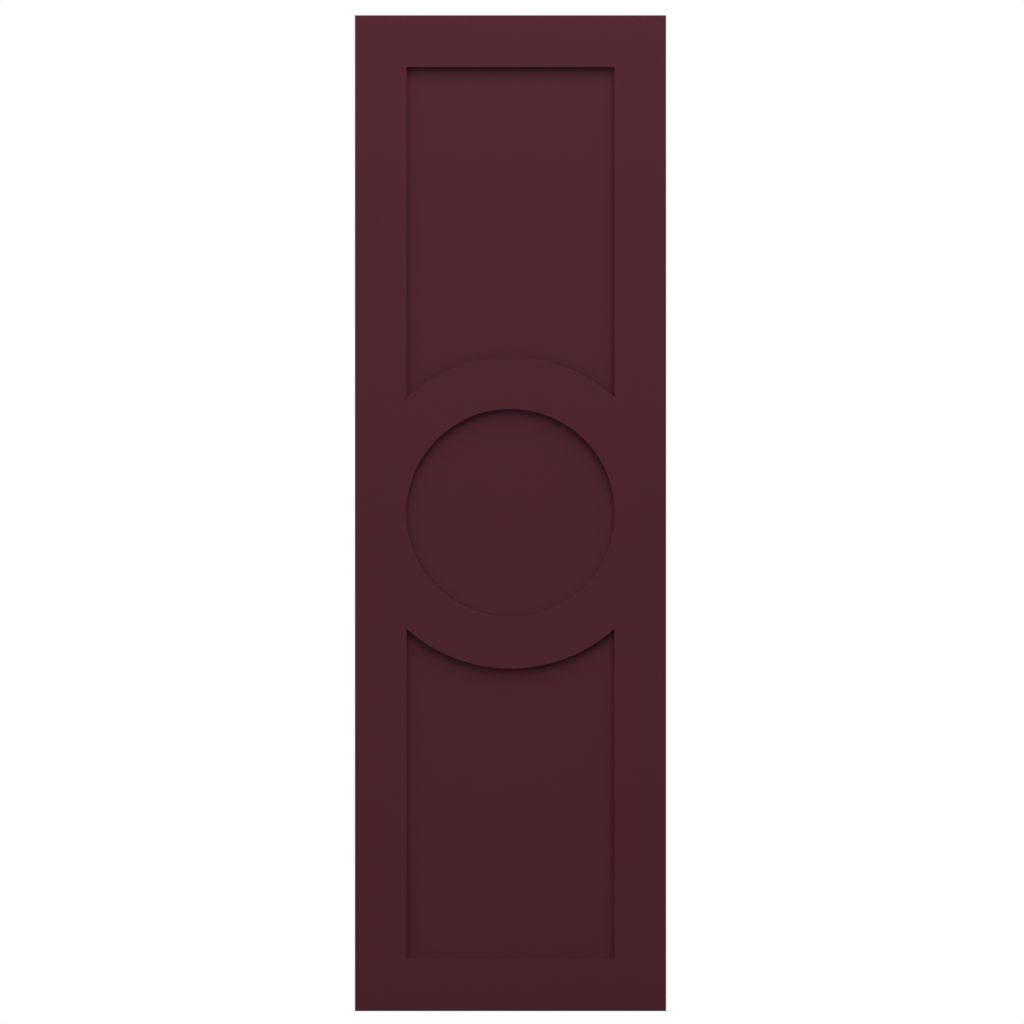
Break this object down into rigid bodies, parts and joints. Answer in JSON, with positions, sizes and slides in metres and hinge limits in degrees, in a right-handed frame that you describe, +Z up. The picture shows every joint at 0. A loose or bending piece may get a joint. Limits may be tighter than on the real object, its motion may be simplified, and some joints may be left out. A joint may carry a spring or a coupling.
{
  "type": "fixed exterior shutter",
  "caption": "Flat-panel exterior shutter: stiles and rails round a back sheet, with curved middle rails framing a round recess, fixed flat to a wall.",
  "frame": {"origin": "the middle of the flat back, on the plane of the wall", "axes": "+X across the shutter to the right as seen from the front, +Z up, and +Y out of the back into the wall, so the face looks along -Y"},
  "size_m": [0.381, 0.0191, 1.2192],
  "materials": {
    "paint": "satin"
  },
  "bodies": {
    "root": {"left_stile": "paint", "right_stile": "paint", "top_rail": "paint", "bottom_rail": "paint", "upper_arch_rail": "paint", "lower_arch_rail": "paint", "back_sheet": "paint"}
  },
  "joints": []
}
